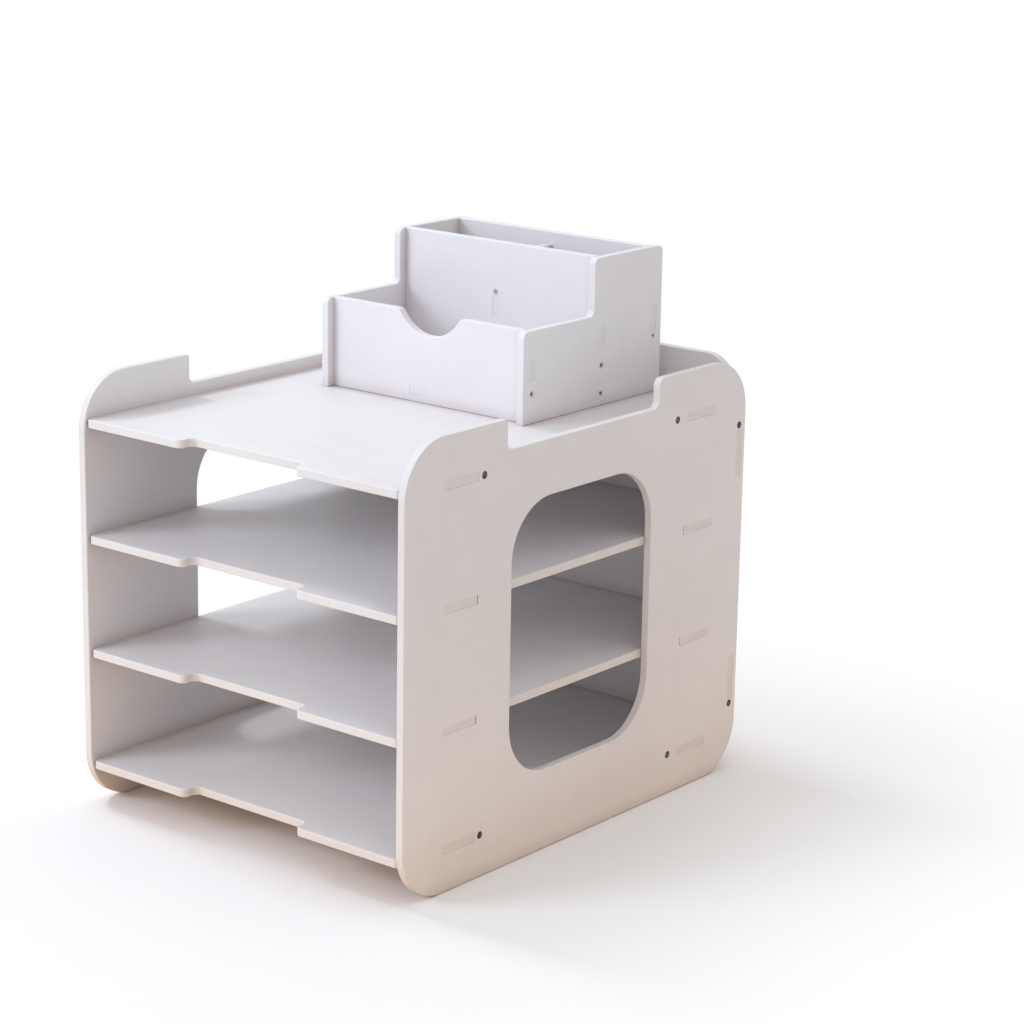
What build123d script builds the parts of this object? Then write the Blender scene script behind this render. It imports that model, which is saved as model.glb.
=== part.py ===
from build123d import *
import os

# All sizes are in millimetres.
# The origin is on the desk under the middle of the frame: +X to the right, +Y to the rear, +Z up.

# Board stock
board = 5.0
edge_rounding = 0.6

# Frame
inner_width = 240.0
side_depth = 313.0
hump_rise = 25.2
side_corner_radius = 32.0

# Window in each side panel, with its top margin below the floor of the notch
window_front_margin = 90.4
window_rear_margin = 93.5
window_bottom_margin = 48.4
window_top_margin = 32.5
window_radius = 34.0

# Notch in the top edge of each side panel
notch_front_margin = 85.2
notch_rear_margin = 88.7
notch_lip = 7.8
notch_front_top_radius = 2.0
notch_front_floor_radius = 4.0
notch_rear_radius = 5.0

# Shelves, of which the highest is the deck
shelf_names = ["bottom_shelf", "lower_shelf", "upper_shelf", "top_deck"]
screwed_shelves = ["bottom_shelf", "top_deck"]
bottom_shelf_height = 22.4
compartment_height = 64.3
shelf_setback = 1.5
shelf_corner_radius = 3.0
finger_recess_width = 87.0
finger_recess_depth = 10.0
finger_recess_radius = 4.0

# Back panel
back_inset = 3.9
back_corner_radius = 20.0

# Tenons of the frame
frame_tenon = 28.0
shelf_tenon_margin = 32.6
back_tenon_margin = 22.6
tenon_shortfall = 0.1
fit_clearance = 0.06
loose_slot_end = 0.5

# Countersunk screws of the frame
frame_screw_length = 14.0
frame_screw_shank = 2.4
frame_screw_head = 4.4
frame_screw_head_height = 1.4
frame_screw_cross = 2.7

# Countersunk screws of the pen box, a size smaller
pen_screw_length = 12.0
pen_screw_shank = 2.2
pen_screw_head = 4.0
pen_screw_head_height = 1.3
pen_screw_cross = 2.4

# What both screw sizes share
point_length = 2.5
screw_sink = 0.3
screw_clearance = 0.05
cross_width = 0.7
cross_depth = 1.1
pilot_spare = 0.6

# Places of the frame screws
shelf_front_screw_gap = 5.0
shelf_rear_screw_gap = 9.4
back_screw_gap = 3.3

# Pen box, which stands loose on the deck
pen_box_width = 157.0
pen_box_depth = 132.1
pen_step_depth = 65.6
pen_low_height = 54.8
pen_tall_height = 89.3
pen_box_rear_gap = 12.2
pen_box_shift = -3.5
pen_corner_radius = 4.0
pen_step_radius = 4.0
pen_panel_inset = 5.4
pen_floor_height = 4.8

# Scoop in the front panel of the pen box
scoop_radius = 27.0
scoop_depth = 13.8
scoop_shift = 2.5
scoop_rim_radius = 5.0

# Divider of the tall section
divider_shift = -1.1
divider_top_gap = 8.0

# Tenons and screws of the pen box
pen_tenon = 12.0
front_tenon_height = 25.3
middle_tenon_height = 36.8
back_tenon_height = 37.7
divider_tenon_height = 43.7
pen_back_tenon = 16.5
floor_tenon = 14.0
floor_tenon_gap = 1.0
floor_front_tenon_shift = -5.5
front_screw_height = 17.7
middle_screw_height = 24.5
beside_tenon_gap = 2.8
pen_panel_screws = ["front", "middle", "back"]

# Modelling allowances: how far a cutter runs past a face, and how near to a corner an edge is left sharp
cutter_overrun = 1.0
corner_margin = 1.0

# Levels and planes worked out from the sizes above
front = -side_depth / 2
rear = side_depth / 2
half_inner = inner_width / 2
half_outer = half_inner + board
shelf_pitch = board + compartment_height
shelf_heights = {name: bottom_shelf_height + shelf_pitch * i for i, name in enumerate(shelf_names)}
deck_top = shelf_heights["top_deck"] + board
side_height = deck_top + hump_rise
notch_floor = deck_top + notch_lip
back_rear = rear - back_inset
back_front = back_rear - board
shelf_front = front + shelf_setback

pen_rear = back_front - pen_box_rear_gap
pen_front = pen_rear - pen_box_depth
pen_left = pen_box_shift - pen_box_width / 2
pen_right = pen_box_shift + pen_box_width / 2
pen_inner_left = pen_left + board
pen_inner_right = pen_right - board
pen_step = pen_front + pen_step_depth
pen_low_top = deck_top + pen_low_height
pen_tall_top = deck_top + pen_tall_height
pen_floor_bottom = deck_top + pen_floor_height
pen_floor_top = pen_floor_bottom + board
pen_panel_fronts = {
    "front": pen_front + pen_panel_inset,
    "middle": pen_step + pen_panel_inset,
    "back": pen_rear - pen_panel_inset - board,
}
divider_middle = pen_box_shift + divider_shift

# Screw sizes as length, shank diameter, head diameter, head height and length of the cross recess
frame_screw = (
    frame_screw_length, frame_screw_shank, frame_screw_head, frame_screw_head_height, frame_screw_cross,
)
pen_screw = (pen_screw_length, pen_screw_shank, pen_screw_head, pen_screw_head_height, pen_screw_cross)


def block(x_range, y_range, z_range):
    """Block between two limits on each axis."""
    size = [high - low for low, high in (x_range, y_range, z_range)]
    corner = (x_range[0], y_range[0], z_range[0])
    return Pos(*corner) * Box(*size, align=(Align.MIN, Align.MIN, Align.MIN))


def outline(corners):
    """Flat outline through corners given as (first, second, corner radius)."""
    points = [(first, second) for first, second, radius in corners]
    radii = [radius for first, second, radius in corners]
    return make_face(FilletPolyline(*points, radius=radii, close=True))


def ease(solid, edges):
    """Solid with the given edges rounded as a routed board edge."""
    return fillet(edges, edge_rounding) if edge_rounding > 0 else solid


def face_edges(solid, axis):
    """Edges of the two large faces of a board that lies square to the axis."""
    faces = solid.faces().sort_by(axis)
    return faces[0].edges() + faces[-1].edges()


def span(middle, length):
    """Limits of a stretch of the given length about its middle."""
    return (middle - length / 2, middle + length / 2)


def grown(limits, amount):
    """Limits moved apart by the amount at each end."""
    return (limits[0] - amount, limits[1] + amount)


# Tenons and the slots that take them

def side_tenons(inner_left, inner_right, y_range, z_range):
    """Pair of tenons that reach through the side panels left and right."""
    reach = board - tenon_shortfall
    left = block((inner_left - reach, inner_left), y_range, z_range)
    right = block((inner_right, inner_right + reach), y_range, z_range)
    return left + right


def side_slot(x_range, y_range, z_range):
    """Slot through a side panel for a tenon with the given limits."""
    x_through = grown(x_range, cutter_overrun)
    return block(x_through, grown(y_range, fit_clearance), grown(z_range, fit_clearance))


def shelf_tenon_spans():
    """Limits along Y of the front and rear tenons of a shelf."""
    front_start = front + shelf_tenon_margin
    rear_end = rear - shelf_tenon_margin
    return [(front_start, front_start + frame_tenon), (rear_end - frame_tenon, rear_end)]


def shelf_slot_spans(name):
    """Limits along Y of a shelf's slots, longer towards the middle where no screw holds the shelf."""
    front_span, rear_span = shelf_tenon_spans()
    spare = 0 if name in screwed_shelves else loose_slot_end
    return [(front_span[0], front_span[1] + spare), (rear_span[0] - spare, rear_span[1])]


def back_tenon_spans():
    """Limits along Z of the lower and upper tenons of the back panel."""
    low_start = bottom_shelf_height + back_tenon_margin
    high_end = side_height - bottom_shelf_height - back_tenon_margin
    return [(low_start, low_start + frame_tenon), (high_end - frame_tenon, high_end)]


def floor_tenon_span():
    """Limits along Y of the pen box floor's side tenon, just ahead of its screw."""
    end = pen_panel_fronts["middle"] - floor_tenon_gap
    return (end - floor_tenon, end)


def pen_tenon_spans():
    """Limits along Z of the tenons of the pen box's cross panels."""
    starts = {"front": front_tenon_height, "middle": middle_tenon_height, "back": back_tenon_height}
    lengths = {"front": pen_tenon, "middle": pen_tenon, "back": pen_back_tenon}
    return {name: (deck_top + starts[name], deck_top + starts[name] + lengths[name]) for name in starts}


def pen_screw_heights():
    """Height of the screw in each cross panel of the pen box."""
    back_screw_height = back_tenon_height - beside_tenon_gap
    heights = {"front": front_screw_height, "middle": middle_screw_height, "back": back_screw_height}
    return {name: deck_top + heights[name] for name in pen_panel_screws}


# Screws, which go in from the outer face of the board they pass through

def screw_form(size, grow):
    """Turned form of a screw along -Z, with the top of its head at the origin, grown by a clearance."""
    length, shank, head, head_height, cross = size
    head_radius = head / 2 + grow
    shank_radius = shank / 2 + grow
    end = -length - grow
    section = Polyline(
        (0, 0),
        (head_radius, 0),
        (shank_radius, -head_height - grow),
        (shank_radius, end + point_length),
        (0, end),
        close=True,
    )
    return revolve(Plane.XZ * make_face(section), Axis.Z)


def screw(size):
    """Countersunk screw with a cross recess."""
    length, shank, head, head_height, cross = size
    arm = Box(cross, cross_width, cross_depth, align=(Align.CENTER, Align.CENTER, Align.MAX))
    return screw_form(size, 0) - arm - Rot(0, 0, 90) * arm


def screw_hole(size):
    """Countersunk hole for one screw, with its pilot hole and the sink above its head."""
    length, shank, head, head_height, cross = size
    mouth = Cylinder(
        head / 2 + screw_clearance,
        screw_sink + cutter_overrun,
        align=(Align.CENTER, Align.CENTER, Align.MIN),
    )
    pilot = Cylinder(
        shank / 2 + screw_clearance,
        length - point_length + pilot_spare,
        align=(Align.CENTER, Align.CENTER, Align.MAX),
    )
    return screw_form(size, screw_clearance) + mouth + pilot


def screw_places(outer_left, outer_right, y, z):
    """Places of one screw in the left and one in the right side panel."""
    left = Pos(outer_left + screw_sink, y, z) * Rot(0, -90, 0)
    right = Pos(outer_right - screw_sink, y, z) * Rot(0, 90, 0)
    return [left, right]


def frame_screw_places(y, z):
    """Places of one pair of screws in the frame."""
    return screw_places(-half_outer, half_outer, y, z)


def pen_screw_places(y, z):
    """Places of one pair of screws in the pen box."""
    return screw_places(pen_left, pen_right, y, z)


def shelf_screws(name):
    """Places of the screws that hold one shelf."""
    front_span, rear_span = shelf_tenon_spans()
    z = shelf_heights[name] + board / 2
    ahead = frame_screw_places(front_span[1] + shelf_front_screw_gap, z)
    behind = frame_screw_places(rear_span[0] - shelf_rear_screw_gap, z)
    return ahead + behind


def back_screws():
    """Places of the screws that hold the back panel."""
    low_span, high_span = back_tenon_spans()
    y = back_front + board / 2
    below = frame_screw_places(y, low_span[0] - back_screw_gap)
    above = frame_screw_places(y, high_span[1] + back_screw_gap)
    return below + above


def pen_panel_screw_places(name):
    """Places of the screws that hold one cross panel of the pen box."""
    return pen_screw_places(pen_panel_fronts[name] + board / 2, pen_screw_heights()[name])


def pen_floor_screws():
    """Places of the screws that hold the pen box floor."""
    return pen_screw_places(pen_panel_fronts["middle"] + board / 2, pen_floor_bottom + board / 2)


def divider_screws():
    """Places of the divider's screws, through the middle and the back panel just above its tenons."""
    z = divider_tenon_span()[1] + beside_tenon_gap
    ahead = Pos(divider_middle, pen_panel_fronts["middle"] + screw_sink, z) * Rot(90, 0, 0)
    behind = Pos(divider_middle, pen_panel_fronts["back"] + board - screw_sink, z) * Rot(-90, 0, 0)
    return [ahead, behind]


def all_frame_screws():
    """Places of all screws in the frame."""
    shelves = [place for name in screwed_shelves for place in shelf_screws(name)]
    return shelves + back_screws()


def all_pen_side_screws():
    """Places of all screws in the sides of the pen box."""
    panels = [place for name in pen_panel_screws for place in pen_panel_screw_places(name)]
    return panels + pen_floor_screws()


def drilled(solid, size, places):
    """Solid with a hole for a screw of the given size at each place."""
    for place in places:
        solid = solid - place * screw_hole(size)
    return solid


def screw_group(size, places):
    """One screw of the given size at each place, as separate solids."""
    return Compound(children=[place * screw(size) for place in places])


# Frame boards

def side_outline():
    """Outline of a side panel: rounded corners, with a notch between two humps."""
    notch_front = front + notch_front_margin
    notch_rear = rear - notch_rear_margin
    return outline([
        (front, 0, side_corner_radius),
        (rear, 0, side_corner_radius),
        (rear, side_height, side_corner_radius),
        (notch_rear, side_height, notch_rear_radius),
        (notch_rear, notch_floor, notch_rear_radius),
        (notch_front, notch_floor, notch_front_floor_radius),
        (notch_front, side_height, notch_front_top_radius),
        (front, side_height, side_corner_radius),
    ])


def window_outline():
    """Outline of the window in a side panel."""
    low, high = window_bottom_margin, notch_floor - window_top_margin
    ahead, behind = front + window_front_margin, rear - window_rear_margin
    corners = [(ahead, low), (behind, low), (behind, high), (ahead, high)]
    return outline([(y, z, window_radius) for y, z in corners])


def side_panel(inner_x, outer_x):
    """Side panel between its inner and outer face, with its slots and screw holes."""
    x_range = (min(inner_x, outer_x), max(inner_x, outer_x))
    profile = side_outline() - window_outline()
    panel = extrude(Plane.YZ.offset(x_range[0]) * profile, board)
    panel = ease(panel, face_edges(panel, Axis.X))
    for name, height in shelf_heights.items():
        for y_range in shelf_slot_spans(name):
            panel = panel - side_slot(x_range, y_range, (height, height + board))
    for z_range in back_tenon_spans():
        panel = panel - side_slot(x_range, (back_front, back_rear), z_range)
    return drilled(panel, frame_screw, all_frame_screws())


def shelf_outline():
    """Outline of a shelf between the side panels, with its finger recess at the front."""
    recess_left, recess_right = span(0, finger_recess_width)
    recess_back = shelf_front + finger_recess_depth
    return outline([
        (-half_inner, shelf_front, shelf_corner_radius),
        (recess_left, shelf_front, finger_recess_radius),
        (recess_left, recess_back, finger_recess_radius),
        (recess_right, recess_back, finger_recess_radius),
        (recess_right, shelf_front, finger_recess_radius),
        (half_inner, shelf_front, shelf_corner_radius),
        (half_inner, back_front, 0),
        (-half_inner, back_front, 0),
    ])


def shelf(name):
    """Shelf with four through tenons and edges left sharp where it meets the side panels."""
    height = shelf_heights[name]
    plate = extrude(Plane.XY.offset(height) * shelf_outline(), board)
    inner_edges = [e for e in face_edges(plate, Axis.Z) if abs(e.center().X) < half_inner - corner_margin]
    plate = ease(plate, [e for e in inner_edges if e.center().Y < 0])
    joint = (shelf_front + shelf_corner_radius, back_front)
    for x_range in ((-half_inner, -half_inner + board), (half_inner - board, half_inner)):
        plate = plate + block(x_range, joint, (height, height + board))
    for y_range in shelf_tenon_spans():
        plate = plate + side_tenons(-half_inner, half_inner, y_range, (height, height + board))
    return drilled(plate, frame_screw, all_frame_screws())


def back_panel():
    """Back panel between the side panels, as high as they are."""
    profile = outline([
        (-half_inner, bottom_shelf_height, 0),
        (half_inner, bottom_shelf_height, 0),
        (half_inner, side_height, back_corner_radius),
        (-half_inner, side_height, back_corner_radius),
    ])
    panel = extrude(Plane.XZ.offset(-back_rear) * profile, board)
    edges = face_edges(panel, Axis.Y)
    free_edges = [e for e in edges if abs(e.center().X) < half_inner - corner_margin]
    panel = ease(panel, free_edges)
    for z_range in back_tenon_spans():
        panel = panel + side_tenons(-half_inner, half_inner, (back_front, back_rear), z_range)
    return drilled(panel, frame_screw, back_screws())


# Pen box boards

def pen_side(inner_x, outer_x):
    """Stepped side panel of the pen box."""
    x_range = (min(inner_x, outer_x), max(inner_x, outer_x))
    profile = outline([
        (pen_front, deck_top, 0),
        (pen_rear, deck_top, 0),
        (pen_rear, pen_tall_top, pen_corner_radius),
        (pen_step, pen_tall_top, pen_corner_radius),
        (pen_step, pen_low_top, pen_step_radius),
        (pen_front, pen_low_top, pen_corner_radius),
    ])
    panel = extrude(Plane.YZ.offset(x_range[0]) * profile, board)
    panel = ease(panel, face_edges(panel, Axis.X))
    for name, z_range in pen_tenon_spans().items():
        y = pen_panel_fronts[name]
        panel = panel - side_slot(x_range, (y, y + board), z_range)
    panel = panel - side_slot(x_range, floor_tenon_span(), (pen_floor_bottom, pen_floor_top))
    return drilled(panel, pen_screw, all_pen_side_screws())


def pen_cross_panel(name, profile):
    """Cross panel of the pen box, with its two side tenons and its screw holes."""
    y = pen_panel_fronts[name]
    panel = extrude(Plane.XZ.offset(-(y + board)) * profile, board)
    inner_half = (pen_inner_right - pen_inner_left) / 2
    edges = face_edges(panel, Axis.Y)
    free_edges = [e for e in edges if abs(e.center().X - pen_box_shift) < inner_half - corner_margin]
    panel = ease(panel, free_edges)
    z_range = pen_tenon_spans()[name]
    panel = panel + side_tenons(pen_inner_left, pen_inner_right, (y, y + board), z_range)
    return drilled(panel, pen_screw, pen_panel_screw_places(name))


def cross_slot(name, x_range, z_range):
    """Slot through a cross panel of the pen box for a tenon with the given limits."""
    y = pen_panel_fronts[name]
    y_through = grown((y, y + board), cutter_overrun)
    return block(grown(x_range, fit_clearance), y_through, grown(z_range, fit_clearance))


def floor_front_tenon():
    """Limits along X of the tenon of the floor in the front and back panels."""
    return span(pen_box_shift + floor_front_tenon_shift, floor_tenon)


def floor_slot(name):
    """Slot for the floor's tenon in the front or back panel of the pen box."""
    return cross_slot(name, floor_front_tenon(), (pen_floor_bottom, pen_floor_top))


def divider_tenon_span():
    """Limits along Z of the divider's tenons."""
    start = deck_top + divider_tenon_height
    return (start, start + pen_tenon)


def divider_slot(name):
    """Slot for the divider's tenon in the middle or back panel of the pen box."""
    return cross_slot(name, span(divider_middle, board), divider_tenon_span())


def pen_front_panel():
    """Front panel of the pen box, with a round scoop in its top edge."""
    low, high = deck_top, pen_low_top
    middle = pen_box_shift + scoop_shift
    centre = high - scoop_depth + scoop_radius
    plain = outline([
        (pen_inner_left, low, 0),
        (pen_inner_right, low, 0),
        (pen_inner_right, high, 0),
        (pen_inner_left, high, 0),
    ])
    profile = plain - Pos(middle, centre) * Circle(scoop_radius)
    inner_limits = grown((pen_inner_left, pen_inner_right), -corner_margin)
    rims = [v for v in profile.vertices() if inner_limits[0] < v.X < inner_limits[1]]
    profile = fillet(rims, scoop_rim_radius)
    return pen_cross_panel("front", profile) - floor_slot("front")


def pen_plain_panel(name, low):
    """Plain cross panel of the tall section, from a lower level to its top."""
    profile = outline([
        (pen_inner_left, low, 0),
        (pen_inner_right, low, 0),
        (pen_inner_right, pen_tall_top, 0),
        (pen_inner_left, pen_tall_top, 0),
    ])
    panel = pen_cross_panel(name, profile) - divider_slot(name)
    return drilled(panel, pen_screw, divider_screws())


def pen_floor():
    """Floor of the pen box, tenoned into its sides, front and back."""
    z_range = (pen_floor_bottom, pen_floor_top)
    start = pen_panel_fronts["front"] + board
    end = pen_panel_fronts["back"]
    plate = block((pen_inner_left, pen_inner_right), (start, end), z_range)
    plate = plate + side_tenons(pen_inner_left, pen_inner_right, floor_tenon_span(), z_range)
    reach = board - tenon_shortfall
    plate = plate + block(floor_front_tenon(), (start - reach, end + reach), z_range)
    return drilled(plate, pen_screw, pen_floor_screws())


def pen_divider():
    """Divider between the middle and back panels of the tall section."""
    x_range = span(divider_middle, board)
    start = pen_panel_fronts["middle"] + board
    end = pen_panel_fronts["back"]
    top = pen_tall_top - divider_top_gap
    plate = block(x_range, (start, end), (pen_floor_top, top))
    top_edges = plate.faces().sort_by(Axis.Z)[-1].edges()
    plate = ease(plate, top_edges.filter_by(Axis.Y))
    reach = board - tenon_shortfall
    plate = plate + block(x_range, (start - reach, end + reach), divider_tenon_span())
    return drilled(plate, pen_screw, divider_screws())


parts = {
    "left_side_panel": side_panel(-half_inner, -half_outer),
    "right_side_panel": side_panel(half_inner, half_outer),
    "back_panel": back_panel(),
}
for shelf_name in shelf_names:
    parts[shelf_name] = shelf(shelf_name)
parts["deck_screws"] = screw_group(frame_screw, shelf_screws("top_deck"))
parts["bottom_shelf_screws"] = screw_group(frame_screw, shelf_screws("bottom_shelf"))
parts["back_panel_screws"] = screw_group(frame_screw, back_screws())
parts["pen_box_left_side"] = pen_side(pen_inner_left, pen_left)
parts["pen_box_right_side"] = pen_side(pen_inner_right, pen_right)
parts["pen_box_front_panel"] = pen_front_panel()
parts["pen_box_middle_panel"] = pen_plain_panel("middle", pen_floor_top)
parts["pen_box_back_panel"] = pen_plain_panel("back", deck_top) - floor_slot("back")
parts["pen_box_floor"] = pen_floor()
parts["pen_box_divider"] = pen_divider()
for panel_name in pen_panel_screws:
    parts[f"pen_box_{panel_name}_screws"] = screw_group(pen_screw, pen_panel_screw_places(panel_name))
parts["pen_box_floor_screws"] = screw_group(pen_screw, pen_floor_screws())
parts["pen_box_divider_screws"] = screw_group(pen_screw, divider_screws())

os.makedirs("parts", exist_ok=True)
for node, solid in parts.items():
    export_step(solid, f"parts/{node}.step")
    print(node, round(solid.volume))
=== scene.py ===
import math

import bmesh
import bpy
from mathutils import Matrix, Vector


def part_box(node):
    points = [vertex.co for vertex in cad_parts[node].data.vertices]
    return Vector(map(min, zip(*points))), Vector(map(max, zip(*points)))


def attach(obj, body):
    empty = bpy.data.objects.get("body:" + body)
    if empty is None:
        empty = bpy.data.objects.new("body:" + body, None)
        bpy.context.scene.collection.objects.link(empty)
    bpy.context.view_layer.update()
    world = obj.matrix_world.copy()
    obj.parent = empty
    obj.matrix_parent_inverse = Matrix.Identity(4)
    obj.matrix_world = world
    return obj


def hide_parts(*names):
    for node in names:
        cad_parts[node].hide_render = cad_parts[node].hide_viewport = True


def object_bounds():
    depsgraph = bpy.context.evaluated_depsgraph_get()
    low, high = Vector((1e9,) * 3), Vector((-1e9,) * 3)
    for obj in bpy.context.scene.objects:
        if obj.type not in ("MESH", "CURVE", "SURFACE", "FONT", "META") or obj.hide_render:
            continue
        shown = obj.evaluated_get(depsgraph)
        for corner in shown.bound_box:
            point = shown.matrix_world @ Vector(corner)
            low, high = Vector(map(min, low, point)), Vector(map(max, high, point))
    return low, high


# Everything is in metres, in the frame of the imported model.

MM = 0.001

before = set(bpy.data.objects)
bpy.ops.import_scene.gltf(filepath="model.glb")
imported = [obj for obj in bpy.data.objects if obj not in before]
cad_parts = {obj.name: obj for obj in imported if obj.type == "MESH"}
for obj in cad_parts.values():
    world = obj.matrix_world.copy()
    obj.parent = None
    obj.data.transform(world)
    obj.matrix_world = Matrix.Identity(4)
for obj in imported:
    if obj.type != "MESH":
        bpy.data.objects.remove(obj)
cad_low, cad_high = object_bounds()

# Colours, as linear values
BOARD_WHITE = (0.860, 0.858, 0.875, 1.0)
BOARD_CORE = (0.862, 0.853, 0.842, 1.0)
BOARD_END = (0.735, 0.722, 0.722, 1.0)
BOARD_DUST = (0.600, 0.580, 0.565, 1.0)
# The pen box's board colour is lighter and bluer than the frame board's: painted light, as if more light fell
# on the pen box
PEN_BOX_WHITE_PAINTED_LIGHTER = (0.900, 0.903, 0.935, 1.0)
PEN_BOX_CORE = (0.885, 0.885, 0.910, 1.0)
PEN_BOX_END = (0.835, 0.835, 0.865, 1.0)
BLOTCH_TINT = (0.956, 0.944, 0.941, 1.0)
MOTTLE_TINT = (0.972, 0.974, 0.980, 1.0)
CORNER_SHADE = (0.865, 0.822, 0.798, 1.0)
JOINT_SHADE = (0.720, 0.655, 0.625, 1.0)
DARK_METAL = (0.008, 0.007, 0.007, 1.0)
DARK_METAL_DUSTY = (0.022, 0.019, 0.018, 1.0)
WORN_METAL = (0.440, 0.420, 0.400, 1.0)
ZINC = (0.860, 0.860, 0.850, 1.0)
ZINC_DULL = (0.700, 0.695, 0.680, 1.0)
ZINC_RECESS_DIRT_AND_SHADE = (0.140, 0.135, 0.130, 1.0)
FLOOR_BOUNCE_NEAR = (1.0, 0.690, 0.430, 1.0)
FLOOR_BOUNCE_FAR = (0.780, 0.740, 0.720, 1.0)
WHITE = (1.0, 1.0, 1.0, 1.0)

# How near another surface must be for the painted shade of an inner corner or the line of a joint
CORNER_REACH = 48 * MM
JOINT_REACH = 9 * MM

# Board grain, as repeats per metre
BLOTCH = 8.0
MOTTLE = 55.0
PEBBLE = 1100.0
PORES = 2200.0
SPECKS = 160.0
PATCHES = 21.0
HANDLING = 34.0
RUBBED_ALONG = 14.0
RUBBED_ACROSS = 620.0
ROUTER_MARKS = 900.0
ROUTER_MARKS_ACROSS = 30.0
SAW_MARKS = 1500.0
SAW_MARKS_ALONG = 60.0

# Depths of the bumps
BOARD_BUMP = 0.045 * MM
METAL_BUMP = 0.01 * MM


class Shader:
    """Builds the node tree of one material or world, node by node."""

    def __init__(self, owner):
        owner.use_nodes = True
        self.tree = owner.node_tree
        self.tree.nodes.clear()

    def add(self, kind, inputs=None, **settings):
        """Adds a node, sets its properties, and fills its inputs with values or with links to sockets."""
        node = self.tree.nodes.new(kind)
        for name, value in settings.items():
            setattr(node, name, value)
        for name, value in (inputs or {}).items():
            self.fill(node.inputs[name], value)
        return node

    def fill(self, socket, value):
        """Links a socket to another one, or gives it a value."""
        if isinstance(value, bpy.types.NodeSocket):
            self.tree.links.new(value, socket)
        else:
            socket.default_value = value

    def math(self, operation, first, second=0.0, clamp=False):
        """Result of a math node."""
        node = self.add("ShaderNodeMath", {0: first, 1: second}, operation=operation, use_clamp=clamp)
        return node.outputs[0]

    def vector(self, operation, first, second=(0.0, 0.0, 0.0)):
        """Outputs of a vector math node."""
        return self.add("ShaderNodeVectorMath", {0: first, 1: second}, operation=operation).outputs

    def split(self, value):
        """The three parts of a vector or colour."""
        return self.add("ShaderNodeSeparateXYZ", {0: value}).outputs

    def ramp(self, value, low, high, to_low=0.0, to_high=1.0):
        """Smooth step of a value from one range to another."""
        inputs = {"Value": value, "From Min": low, "From Max": high, "To Min": to_low, "To Max": to_high}
        return self.add("ShaderNodeMapRange", inputs, interpolation_type="SMOOTHSTEP").outputs["Result"]

    def mix(self, factor, first, second, blend="MIX"):
        """Mix of two colours."""
        node = self.add("ShaderNodeMix", data_type="RGBA", blend_type=blend)
        for index, value in ((0, factor), (6, first), (7, second)):
            self.fill(node.inputs[index], value)
        return node.outputs[2]

    def noise(self, place, scale, detail=2.0, roughness=0.5, distortion=0.0):
        """Value of a noise texture."""
        inputs = {
            "Vector": place, "Scale": scale, "Detail": detail, "Roughness": roughness, "Distortion": distortion,
        }
        return self.add("ShaderNodeTexNoise", inputs).outputs[0]

    def cells(self, place, scale):
        """Cell texture, whose outputs are the distance to a cell's middle and the cell's own colour."""
        return self.add("ShaderNodeTexVoronoi", {"Vector": place, "Scale": scale}).outputs

    def stretched(self, place, scale, turn=(0.0, 0.0, 0.0)):
        """Place scaled and turned differently along each axis."""
        return self.add("ShaderNodeMapping", {"Vector": place, "Scale": scale, "Rotation": turn}).outputs[0]

    def bump(self, height, distance, strength):
        """Normal bent by a height."""
        inputs = {"Height": height, "Distance": distance, "Strength": strength}
        return self.add("ShaderNodeBump", inputs).outputs[0]

    def covered(self, reach):
        """How much of the view from a surface is shut off by others within reach."""
        node = self.add("ShaderNodeAmbientOcclusion", {"Distance": reach}, samples=4)
        return self.math("SUBTRACT", 1.0, node.outputs["AO"], clamp=True)

    def seen_directly(self):
        """1 for the camera and in gloss and glass, and 0 for the soft light that a surface gives to others."""
        path = self.add("ShaderNodeLightPath").outputs
        mirrored = self.math("MAXIMUM", path["Is Glossy Ray"], path["Is Transmission Ray"])
        return self.math("MAXIMUM", path["Is Camera Ray"], mirrored)


def scales_with(plain, axis, special):
    """Scale along each axis, of which one differs."""
    scales = [plain] * 3
    scales[axis] = special
    return tuple(scales)


BOARD_COLOURS = (BOARD_WHITE, BOARD_CORE, BOARD_END)
PEN_BOX_COLOURS = (PEN_BOX_WHITE_PAINTED_LIGHTER, PEN_BOX_CORE, PEN_BOX_END)


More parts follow.
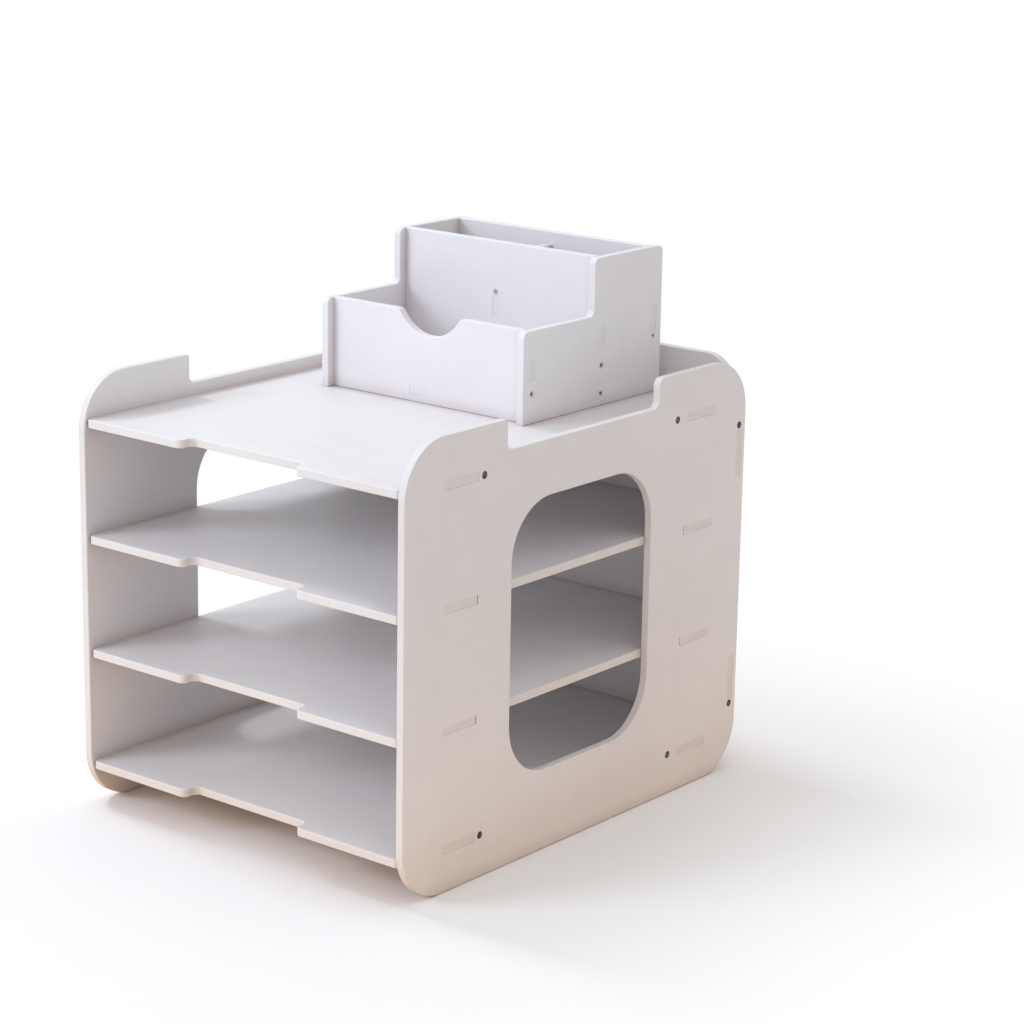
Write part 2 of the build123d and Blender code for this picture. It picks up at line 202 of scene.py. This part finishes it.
def board_material(name, axis, end_axis, turn, colours=BOARD_COLOURS):
    """Satin foamed board square to one axis, whose tenons end square to another.

    Its faces are smooth, its routed edges porous, its arrises handled, and its tenon ends rough and grey; its
    inner corners and joint lines get painted shade.
    """
    white, core_colour, end_colour = colours
    material = bpy.data.materials.new(name)
    s = Shader(material)
    coordinates = s.add("ShaderNodeTexCoord").outputs
    place = coordinates["Object"]
    normal = s.split(coordinates["Normal"])
    facing = s.math("ABSOLUTE", normal[axis])
    face = s.ramp(facing, 0.93, 0.998)
    cut = s.ramp(facing, 0.08, 0.40, 1.0, 0.0)
    arris = s.math("SUBTRACT", 1.0, s.math("ADD", face, cut), clamp=True)

    blotch = s.noise(place, BLOTCH, 3.0, 0.55, 0.4)
    mottle = s.noise(place, MOTTLE, 4.0, 0.6)
    fine = s.noise(place, PEBBLE, 3.0, 0.6)
    pores = s.cells(place, PORES)
    specks = s.cells(place, SPECKS)

    # The face: faint uneven tone, a few dust specks and hair-thin rubbed lines
    scales = scales_with(RUBBED_ALONG, (axis + 1) % 3, RUBBED_ACROSS)
    lines = s.noise(s.stretched(place, scales, turn), 1.0, 2.0, 0.5, 0.15)
    patches = s.ramp(s.noise(place, PATCHES, 2.0), 0.50, 0.72)
    rubbed = s.math("MULTIPLY", s.ramp(lines, 0.66, 0.74), patches)
    rubbed = s.math("MULTIPLY", rubbed, face)
    rare = s.math("GREATER_THAN", s.split(specks["Color"])[0], 0.965)
    speck = s.math("MULTIPLY", s.ramp(specks["Distance"], 0.05, 0.11, 1.0, 0.0), rare)
    tone = s.mix(s.ramp(blotch, 0.30, 0.72), BLOTCH_TINT, WHITE)
    tone = s.mix(s.ramp(mottle, 0.30, 0.70, 0.0, 0.5), tone, MOTTLE_TINT, "MULTIPLY")
    skin = s.mix(1.0, white, tone, "MULTIPLY")
    skin = s.mix(s.math("MULTIPLY", speck, 0.30), skin, BOARD_DUST)
    skin = s.mix(s.math("MULTIPLY", rubbed, 0.10), skin, BOARD_DUST)

    # The routed edge: open pores and the faint marks of the cutter across the thickness
    scales = scales_with(ROUTER_MARKS, axis, ROUTER_MARKS_ACROSS)
    marks = s.noise(s.stretched(place, scales), 1.0, 1.0, 0.4)
    open_pore = s.ramp(pores["Distance"], 0.10, 0.34, 1.0, 0.0)
    chosen = s.math("GREATER_THAN", s.split(pores["Color"])[1], 0.45)
    open_pore = s.math("MULTIPLY", open_pore, chosen)
    core = s.mix(1.0, core_colour, tone, "MULTIPLY")
    core = s.mix(s.math("MULTIPLY", open_pore, 0.22), core, BOARD_DUST)
    colour = s.mix(cut, skin, core)

    # The end of a tenon: rougher, with marks along the board
    scales = scales_with(SAW_MARKS_ALONG, axis, SAW_MARKS)
    streaks = s.noise(s.stretched(place, scales), 1.0, 3.0, 0.6)
    if end_axis is None:
        end = 0.0
    else:
        end = s.ramp(s.math("ABSOLUTE", normal[end_axis]), 0.90, 0.99)
        smudge = s.math("MULTIPLY", s.ramp(streaks, 0.25, 0.75), s.ramp(blotch, 0.25, 0.60, 0.55, 1.0))
        colour = s.mix(s.math("MULTIPLY", end, smudge), colour, end_colour)

    # The arris: rubbed a little smoother and, in places, a little greyer
    handled = s.math("MULTIPLY", arris, s.ramp(s.noise(place, HANDLING, 4.0, 0.65), 0.42, 0.66))
    colour = s.mix(s.math("MULTIPLY", handled, 0.16), colour, BOARD_DUST)

    # Painted shade: inner corners and the lines of the joints are darkened by how much nearby surfaces shut off
    # their view
    for reach, shade in ((CORNER_REACH, CORNER_SHADE), (JOINT_REACH, JOINT_SHADE)):
        colour = s.mix(s.covered(reach), colour, s.mix(1.0, colour, shade, "MULTIPLY"))

    gloss = s.ramp(mottle, 0.25, 0.75, 0.44, 0.56)
    gloss = s.math("ADD", gloss, s.math("MULTIPLY", cut, 0.22))
    gloss = s.math("SUBTRACT", gloss, s.math("MULTIPLY", handled, 0.12))
    gloss = s.math("ADD", gloss, s.math("MULTIPLY", rubbed, 0.12), clamp=True)

    skin_height = s.math("ADD", s.math("MULTIPLY", fine, 0.5), s.math("MULTIPLY", mottle, 0.8))
    skin_height = s.math("SUBTRACT", skin_height, s.math("MULTIPLY", rubbed, 0.35))
    core_height = s.math("SUBTRACT", s.math("MULTIPLY", marks, 0.9), s.math("MULTIPLY", open_pore, 1.2))
    core_height = s.math("ADD", core_height, s.math("MULTIPLY", end, streaks))
    skin_part = s.math("MULTIPLY", skin_height, s.math("SUBTRACT", 1.0, cut))
    height = s.math("ADD", skin_part, s.math("MULTIPLY", core_height, cut))
    bent = s.bump(height, BOARD_BUMP, 0.55)

    surface = s.add("ShaderNodeBsdfPrincipled", {"Base Color": colour, "Roughness": gloss, "Normal": bent})
    s.add("ShaderNodeOutputMaterial", {"Surface": surface.outputs[0]})
    return material


def metal_material(name, dark):
    """Screw metal: blackened steel worn bright in the recess, or zinc whose recess is darkened with dirt and
    painted shade.
    """
    material = bpy.data.materials.new(name)
    s = Shader(material)
    place = s.add("ShaderNodeTexCoord").outputs["Object"]
    grain = s.noise(place, 2600.0, 3.0, 0.6)
    patch = s.noise(place, 700.0, 3.0, 0.6)
    wear_and_shade = s.add("ShaderNodeAttribute", attribute_name="wear_and_shade").outputs["Fac"]
    broken = s.math("MULTIPLY", wear_and_shade, s.ramp(patch, 0.30, 0.62, 0.55, 1.0))
    if dark:
        plain = s.mix(s.ramp(patch, 0.35, 0.7, 0.0, 0.6), DARK_METAL, DARK_METAL_DUSTY)
        colour = s.mix(broken, plain, WORN_METAL)
    else:
        plain = s.mix(s.ramp(patch, 0.35, 0.7), ZINC, ZINC_DULL)
        # On zinc the recess is darkened with dirt and painted shade
        colour = s.mix(broken, plain, ZINC_RECESS_DIRT_AND_SHADE)
    gloss = s.ramp(grain, 0.3, 0.7, 0.30, 0.46)
    bent = s.bump(grain, METAL_BUMP, 0.6)
    inputs = {"Base Color": colour, "Metallic": 1.0, "Roughness": gloss, "Normal": bent}
    surface = s.add("ShaderNodeBsdfPrincipled", inputs)
    s.add("ShaderNodeOutputMaterial", {"Surface": surface.outputs[0]})
    return material


# Screws

# Directions of a cross recess's outline in its first eighth, in degrees
RECESS_ANGLES = [0, 5, 9, 12.2, 14.2, 17, 22, 29, 37, 45]

# Depth of each ring of the recess in millimetres, its shares of the cross's length and width, and its wear, or
# on zinc screws its dirt and painted shade
RECESS_RINGS = [(0.0, 1.06, 1.0, 0.45), (0.07, 0.98, 1.0, 1.0), (0.55, 0.84, 0.93, 1.0), (1.0, 0.62, 0.84, 1.0)]
RECESS_WIDTH = 0.72 * MM
RECESS_FLOOR = 1.25 * MM

HEAD_RIM = 0.16 * MM
NECK_SHARE = 0.42
THREAD_PITCH = 1.1 * MM
THREAD_CORE_SHARE = 0.76
THREAD_STEPS = 6
THREAD_SIDES = 20
POINT_LENGTH = 2.5 * MM
POINT_RADIUS = 0.05 * MM


def recess_radius(angle, length, width):
    """Distance from the middle of a cross to its outline in one direction."""
    c, s = abs(math.cos(angle)) + 1e-9, abs(math.sin(angle)) + 1e-9
    along = min(length / 2 / c, width / 2 / s)
    across = min(length / 2 / s, width / 2 / c)
    return max(along, across)


def full_turn(angles):
    """Angles of a full turn, from those of its first eighth."""
    eighth = [math.radians(a) for a in angles]
    quarter = eighth + [math.pi / 2 - a for a in reversed(eighth[1:-1])]
    return [a + math.pi / 2 * turn for turn in range(4) for a in quarter]


def ring(mesh, angles, radii, z, wear_and_shade, layer):
    """Ring of vertices about the Z axis."""
    made = []
    for angle, radius in zip(angles, radii):
        vertex = mesh.verts.new((radius * math.cos(angle), radius * math.sin(angle), z))
        vertex[layer] = wear_and_shade
        made.append(vertex)
    return made


def bridge(mesh, first, second):
    """Band of faces between two rings with as many vertices."""
    count = len(first)
    for i in range(count):
        j = (i + 1) % count
        mesh.faces.new((first[i], second[i], second[j], first[j]))


def cap(mesh, loop, z, wear_and_shade, layer):
    """Fan of faces from a ring to a point on the axis."""
    tip = mesh.verts.new((0.0, 0.0, z))
    tip[layer] = wear_and_shade
    count = len(loop)
    for i in range(count):
        mesh.faces.new((loop[i], tip, loop[(i + 1) % count]))


def close(mesh, loop, up=False):
    """Flat end over a ring."""
    mesh.faces.new(loop if up else list(reversed(loop)))


def add_head(mesh, layer, head, head_height, shank, cross):
    """Countersunk head with its top at the origin, and its cross recess."""
    angles = full_turn(RECESS_ANGLES)
    radius = head / 2
    previous = None
    for depth, reach, spread, wear_and_shade in reversed(RECESS_RINGS):
        radii = [recess_radius(a, cross * reach, RECESS_WIDTH * spread * (2 - reach)) for a in angles]
        loop = ring(mesh, angles, radii, -depth * MM, wear_and_shade, layer)
        if previous is None:
            cap(mesh, loop, -RECESS_FLOOR, 1.0, layer)
        else:
            bridge(mesh, loop, previous)
        previous = loop
    profile = [
        ((cross / 2 + radius - HEAD_RIM) / 2, 0.0, 0.05),
        (radius - HEAD_RIM, 0.0, 0.01),
        (radius - HEAD_RIM * 0.3, -0.05 * MM, 0.03),
        (radius, -0.14 * MM, 0.03),
        (shank * NECK_SHARE, -head_height, 0.0),
    ]
    for reach, z, wear_and_shade in profile:
        loop = ring(mesh, angles, [reach] * len(angles), z, wear_and_shade, layer)
        bridge(mesh, loop, previous)
        previous = loop
    close(mesh, previous)


def add_thread(mesh, layer, head_height, shank, length):
    """Threaded shank and point along -Z, as a closed body of its own that starts inside the head."""
    sides = [math.tau * i / THREAD_SIDES for i in range(THREAD_SIDES)]
    top = -head_height * 0.8
    levels = int((length + top) / THREAD_PITCH * THREAD_STEPS)
    previous = None
    for level in range(levels + 1):
        z = top - (length + top) * level / levels
        taper = min(1.0, (length + z) / POINT_LENGTH)
        radii = []
        for angle in sides:
            turn = (z / THREAD_PITCH + angle / math.tau) % 1.0
            crest = max(0.0, 1.0 - abs(turn - 0.5) * 3.2)
            share = THREAD_CORE_SHARE + (1.0 - THREAD_CORE_SHARE) * crest
            radii.append(max(POINT_RADIUS, shank / 2 * taper * share))
        loop = ring(mesh, sides, radii, z, 0.0, layer)
        if previous is None:
            close(mesh, loop, up=True)
        else:
            bridge(mesh, loop, previous)
        previous = loop
    close(mesh, previous)


def add_screw(mesh, layer, matrix, size, wear_and_shade):
    """Countersunk screw of a size in millimetres, moved to its place."""
    head, head_height, shank, length, cross = [value * MM for value in size]
    start = len(mesh.verts)
    add_head(mesh, layer, head, head_height, shank, cross)
    add_thread(mesh, layer, head_height, shank, length)
    mesh.verts.ensure_lookup_table()
    for vertex in mesh.verts[start:]:
        vertex.co = matrix @ vertex.co
        vertex[layer] *= wear_and_shade


def middles(low, high, inset):
    """Middles of the heads between two limits: one where the limits are one head apart, otherwise two."""
    near, far = low + inset, high - inset
    return [near] if far - near < inset else [near, far]


def screw_piece(node, body, material, size, axis=0, wear_and_shade=1.0):
    """Detailed screws in the places of a node's plain ones, which they replace.

    They are driven in from both ends of an axis.
    """
    inset = size[0] * MM / 2
    low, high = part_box(node)
    first, second = [other for other in range(3) if other != axis]
    mesh = bmesh.new()
    layer = mesh.verts.layers.float.new("wear_and_shade")
    for across in middles(low[first], high[first], inset):
        for along in middles(low[second], high[second], inset):
            for end, sign in ((low[axis], -1.0), (high[axis], 1.0)):
                place, outward = Vector(), Vector()
                place[axis], place[first], place[second] = end, across, along
                outward[axis] = sign
                # Each recess has stopped at a different angle
                stopped_at = 13.0 + 4000.0 * across + 2500.0 * along + sign
                turned = outward.to_track_quat("Z", "Y").to_matrix().to_4x4()
                matrix = Matrix.Translation(place) @ turned @ Matrix.Rotation(stopped_at, 4, "Z")
                add_screw(mesh, layer, matrix, size, wear_and_shade)
    bmesh.ops.recalc_face_normals(mesh, faces=mesh.faces)
    data = bpy.data.meshes.new(node + "_detail")
    mesh.to_mesh(data)
    mesh.free()
    piece = bpy.data.objects.new(node + "_detail", data)
    bpy.context.scene.collection.objects.link(piece)
    data.materials.append(material)
    data.set_sharp_from_angle(angle=math.radians(28))
    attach(piece, body)
    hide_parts(node)
    return piece


# Boards, each with the axis that its faces are square to

BOARD_AXES = {
    "left_side_panel": 0,
    "right_side_panel": 0,
    "pen_box_left_side": 0,
    "pen_box_right_side": 0,
    "pen_box_divider": 0,
    "back_panel": 1,
    "pen_box_front_panel": 1,
    "pen_box_middle_panel": 1,
    "pen_box_back_panel": 1,
    "bottom_shelf": 2,
    "lower_shelf": 2,
    "upper_shelf": 2,
    "top_deck": 2,
    "pen_box_floor": 2,
}
frame_materials = [
    board_material("board_upright_side", 0, None, (0.35, 0.0, 0.0)),
    board_material("board_upright_cross", 1, 0, (0.0, 0.3, 0.0)),
    board_material("board_flat", 2, 0, (0.0, 0.0, 0.45)),
]
pen_box_materials = [
    board_material("pen_box_upright_side", 0, None, (0.40, 0.0, 0.0), PEN_BOX_COLOURS),
    board_material("pen_box_upright_cross", 1, 0, (0.0, 0.25, 0.0), PEN_BOX_COLOURS),
    board_material("pen_box_flat", 2, 0, (0.0, 0.0, 0.35), PEN_BOX_COLOURS),
]
divider_material = board_material("pen_box_divider_board", 0, 1, (0.35, 0.0, 0.0), PEN_BOX_COLOURS)
for node, axis in BOARD_AXES.items():
    materials = pen_box_materials if node.startswith("pen_box") else frame_materials
    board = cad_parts[node]
    board.data.materials.clear()
    board.data.materials.append(divider_material if node == "pen_box_divider" else materials[axis])

# Screw sizes in millimetres: head, head height, shank, length and cross recess
FRAME_SCREW = (4.4, 1.4, 2.4, 14.0, 2.7)
PEN_SCREW = (4.0, 1.3, 2.2, 12.0, 2.4)
dark_metal = metal_material("screw_dark", True)
bright_metal = metal_material("screw_bright", False)
for node in ("deck_screws", "bottom_shelf_screws", "back_panel_screws"):
    screw_piece(node, "frame", dark_metal, FRAME_SCREW)
for part in ("front", "middle", "back", "floor"):
    screw_piece(f"pen_box_{part}_screws", "pen_box", bright_metal, PEN_SCREW)
screw_piece("pen_box_divider_screws", "pen_box", bright_metal, PEN_SCREW, axis=1, wear_and_shade=0.15)


# Stage, light and camera

FLOOR_HALF = 6
FLOOR_DROP = 0.3 * MM
FLOOR_FADE = 0.26
WORLD_LIGHT = (1.0, 0.980, 0.975, 1.0)
WORLD_STRENGTH = 0.71

# Place, side, power and colour of each lamp, which points at the middle of the object
LAMPS = {
    "key": ((-2.15, -0.10, 2.60), 0.6, 27.5, (0.88, 0.92, 1.0)),
    "front": ((-1.25, -1.95, 1.25), 0.9, 22.5, (0.77, 0.845, 1.0)),
}
LAMP_TARGET = (0, 0, 0.15)


def floor_material():
    """Pale floor that fades to the white background away from the object and keeps the shadow near it."""
    material = bpy.data.materials.new("pale_floor")
    s = Shader(material)
    seen = s.seen_directly()
    place = s.add("ShaderNodeTexCoord").outputs["Object"]

    # The floor gives warm light to the object from near by, and plainer light from afar and from its lit side
    reach = s.vector("LENGTH", place)["Value"]
    lit_side = s.ramp(s.split(place)[0], -0.26, -0.08, 1.0, 0.0)
    plainer = s.math("MAXIMUM", s.ramp(reach, 0.20, 0.60), lit_side)
    bounce = s.mix(plainer, FLOOR_BOUNCE_NEAR, FLOOR_BOUNCE_FAR)

    # It fades with the distance from the object's footprint
    spread = s.vector("ABSOLUTE", place)[0]
    beyond = s.vector("SUBTRACT", spread, (cad_high[0], cad_high[1], 0.0))[0]
    gap = s.vector("LENGTH", s.vector("MAXIMUM", beyond)[0])["Value"]
    far = s.ramp(gap, 0.0, FLOOR_FADE)

    lit = s.add("ShaderNodeBsdfDiffuse", {"Color": s.mix(seen, bounce, WHITE)}).outputs[0]
    glow = s.add("ShaderNodeEmission", {"Color": WHITE, "Strength": 1.0}).outputs[0]
    surface = s.add("ShaderNodeMixShader", {0: s.math("MULTIPLY", far, seen), 1: lit, 2: glow})
    s.add("ShaderNodeOutputMaterial", {"Surface": surface.outputs[0]})
    return material


def white_world(colour, strength):
    """Soft light from all round, which the camera and reflections see as plain white."""
    world = bpy.data.worlds.new("studio")
    s = Shader(world)
    soft = s.add("ShaderNodeBackground", {"Color": colour, "Strength": strength}).outputs[0]
    plain = s.add("ShaderNodeBackground", {"Color": WHITE, "Strength": 1.0}).outputs[0]
    surface = s.add("ShaderNodeMixShader", {0: s.seen_directly(), 1: soft, 2: plain})
    s.add("ShaderNodeOutputWorld", {"Surface": surface.outputs[0]})
    bpy.context.scene.world = world


def area_light(name, place, size, power, colour):
    """Square lamp that points at the object."""
    data = bpy.data.lights.new(name, "AREA")
    data.shape = "SQUARE"
    data.size = size
    data.energy = power
    data.color = colour
    lamp = bpy.data.objects.new(name, data)
    bpy.context.scene.collection.objects.link(lamp)
    lamp.location = place
    lamp.rotation_euler = (Vector(LAMP_TARGET) - Vector(place)).to_track_quat("-Z", "Y").to_euler()
    return lamp


corners = [(x * FLOOR_HALF, y * FLOOR_HALF, 0) for x, y in ((-1, -1), (1, -1), (1, 1), (-1, 1))]
floor_mesh = bpy.data.meshes.new("floor")
floor_mesh.from_pydata(corners, [], [(0, 1, 2, 3)])
floor = bpy.data.objects.new("floor", floor_mesh)
bpy.context.scene.collection.objects.link(floor)
floor.location = (0, 0, -FLOOR_DROP)
floor_mesh.materials.append(floor_material())

white_world(WORLD_LIGHT, WORLD_STRENGTH)
for name, settings in LAMPS.items():
    area_light(name, *settings)

# The camera's place and direction were solved from the straight edges of the boards
camera_data = bpy.data.cameras.new("camera")
camera_data.sensor_width = 36.0
camera_data.lens = 102.55
camera_data.clip_start = 0.05
camera = bpy.data.objects.new("camera", camera_data)
bpy.context.scene.collection.objects.link(camera)
camera.matrix_world = Matrix((
    (0.77513156, -0.17645842, 0.60665764, 1.09704),
    (0.63158486, 0.19136844, -0.75131797, -1.27084),
    (0.01648125, 0.96552605, 0.25978418, 0.62363),
    (0.0, 0.0, 0.0, 1.0),
))
bpy.context.scene.camera = camera
bpy.context.scene.view_settings.view_transform = "Standard"
